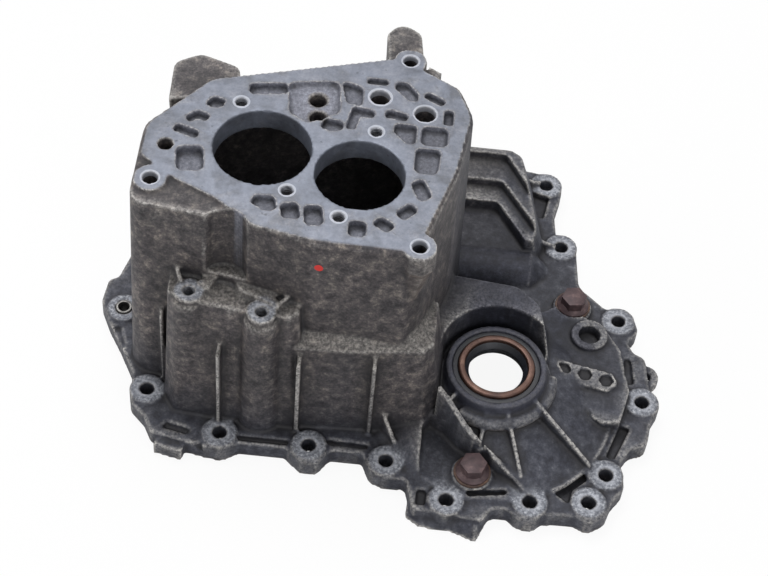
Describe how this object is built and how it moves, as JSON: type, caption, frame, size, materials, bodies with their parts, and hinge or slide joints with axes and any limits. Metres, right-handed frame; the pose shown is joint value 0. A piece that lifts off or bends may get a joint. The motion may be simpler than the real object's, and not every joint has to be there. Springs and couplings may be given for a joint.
{
  "type": "gearbox housing",
  "caption": "Die-cast gearbox housing standing on its flange, with bearing bores in the end face, a drive shaft seal nose, ribs and bolt bosses.",
  "frame": {"origin": "middle of the bounding box, on the mating face of the flange", "axes": "+Z along the shaft bores, from the mating face to the end face; +X towards the drive shaft seal; +Y away from the shift housing"},
  "size_m": [0.4286, 0.348, 0.205],
  "materials": {
    "cast_aluminium": "rough cast, grimy",
    "seal_steel": "satin",
    "seal_rubber": "satin",
    "bearing_steel": "satin",
    "bolt_steel": "rusty",
    "washer_steel": "rusty",
    "sleeve_steel": "dull"
  },
  "bodies": {
    "root": {"housing_casting": "cast_aluminium", "seal_case": "seal_steel", "seal_jacket": "seal_rubber", "seal_lip": "seal_rubber", "differential_bearing_cup": "bearing_steel", "side_bolt_upper": "bolt_steel", "side_bolt_lower": "bolt_steel", "side_bolt_upper_washer": "washer_steel", "side_bolt_lower_washer": "washer_steel", "dowel_sleeve": "sleeve_steel"}
  },
  "joints": []
}
